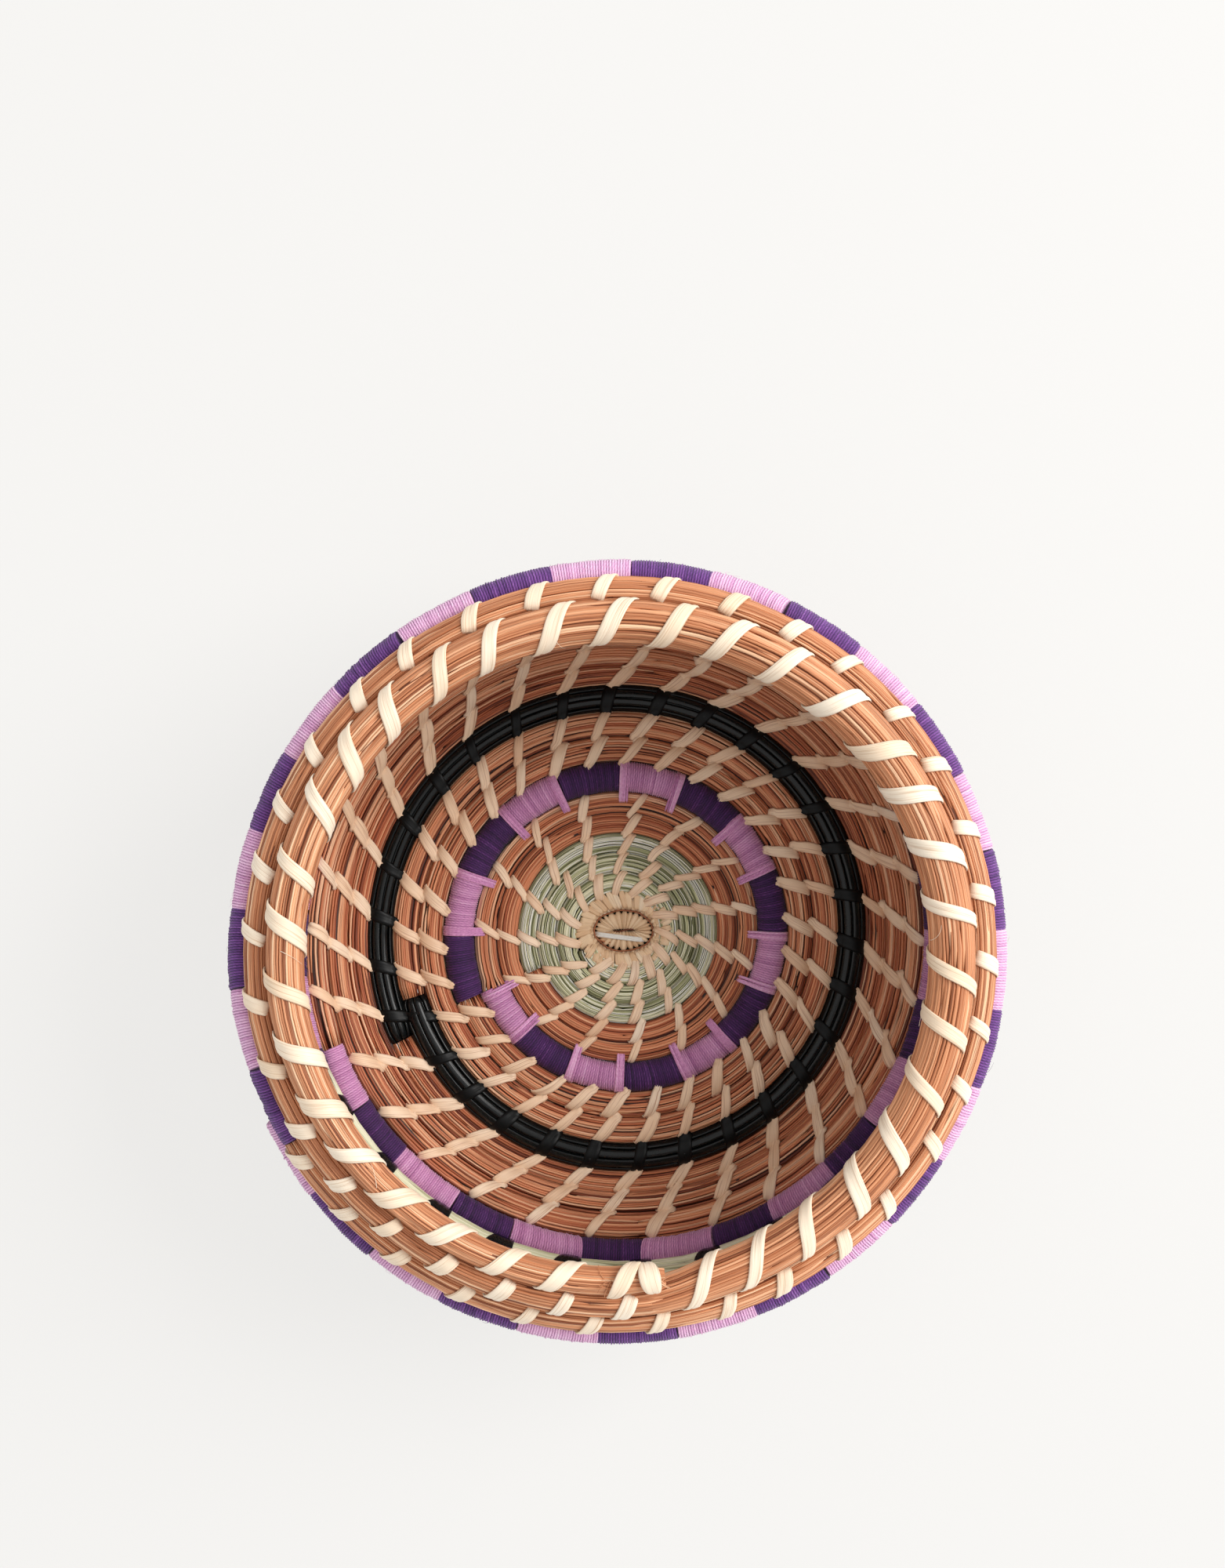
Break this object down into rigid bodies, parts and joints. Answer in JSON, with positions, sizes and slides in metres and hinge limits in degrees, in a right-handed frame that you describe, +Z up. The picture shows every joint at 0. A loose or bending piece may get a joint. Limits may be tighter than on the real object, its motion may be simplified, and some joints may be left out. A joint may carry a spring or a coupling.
{
  "type": "coiled pine needle basket",
  "caption": "Round-bellied coiled basket of stitched pine needles with thread-wrapped and coloured rows, a flat floor and a drawn-in open mouth.",
  "frame": {"origin": "on the ground under the middle of the floor, where the coil starts", "axes": "+Z up through the mouth; seen from above the coil winds anticlockwise, and its changes of material lie on the -X side a little towards -Y"},
  "size_m": [0.1863, 0.1859, 0.085],
  "materials": {
    "raffia": "flat natural raffia strands, satin",
    "white_thread": "white cotton thread, matte",
    "green_grass": "bundled dried sage-green grass, matte",
    "brown_needles": "bundled dried pine needles, satin",
    "lilac_thread": "tight wraps of lilac cotton thread, matte",
    "purple_thread": "tight wraps of dark purple cotton thread, matte",
    "black_strips": "flat black dyed strips laid lengthwise, glossy",
    "pale_grass": "bundled pale green grass, satin"
  },
  "bodies": {
    "root": {"raffia_start_pad": "raffia", "start_thread_tie": "white_thread", "raffia_start_ring": "raffia", "green_grass_coil": "green_grass", "centre_needle_coil": "brown_needles", "floor_wrapped_coil": "lilac_thread", "floor_needle_coil": "brown_needles", "black_strip_coil": "black_strips", "wall_needle_coil_1": "brown_needles", "wall_needle_coil_2": "brown_needles", "wall_needle_coil_3": "brown_needles", "lower_wrapped_coil": "purple_thread", "pale_grass_coil_1": "pale_grass", "pale_grass_coil_2": "pale_grass", "pale_grass_coil_3": "pale_grass", "pale_grass_coil_4": "pale_grass", "pale_grass_coil_5": "pale_grass", "pale_grass_coil_6": "pale_grass", "upper_wrapped_coil": "lilac_thread", "shoulder_needle_coil": "brown_needles", "rim_needle_coil": "brown_needles", "rim_stitch_01": "raffia", "rim_stitch_02": "raffia", "rim_stitch_03": "raffia", "rim_stitch_04": "raffia", "rim_stitch_05": "raffia", "rim_stitch_06": "raffia", "rim_stitch_07": "raffia", "rim_stitch_08": "raffia", "rim_stitch_09": "raffia", "rim_stitch_10": "raffia", "rim_stitch_11": "raffia", "rim_stitch_12": "raffia", "rim_stitch_13": "raffia", "rim_stitch_14": "raffia", "rim_stitch_15": "raffia", "rim_stitch_16": "raffia", "rim_stitch_17": "raffia", "rim_stitch_18": "raffia", "rim_stitch_19": "raffia", "rim_stitch_20": "raffia", "rim_stitch_21": "raffia", "rim_stitch_22": "raffia", "rim_stitch_23": "raffia", "rim_stitch_24": "raffia", "rim_stitch_25": "raffia", "rim_stitch_26": "raffia", "rim_stitch_27": "raffia", "rim_stitch_28": "raffia", "rim_stitch_29": "raffia", "rim_stitch_30": "raffia", "rim_stitch_31": "raffia", "rim_stitch_32": "raffia", "rim_stitch_33": "raffia", "knot_end_left": "raffia", "knot_end_right": "raffia"}
  },
  "joints": []
}
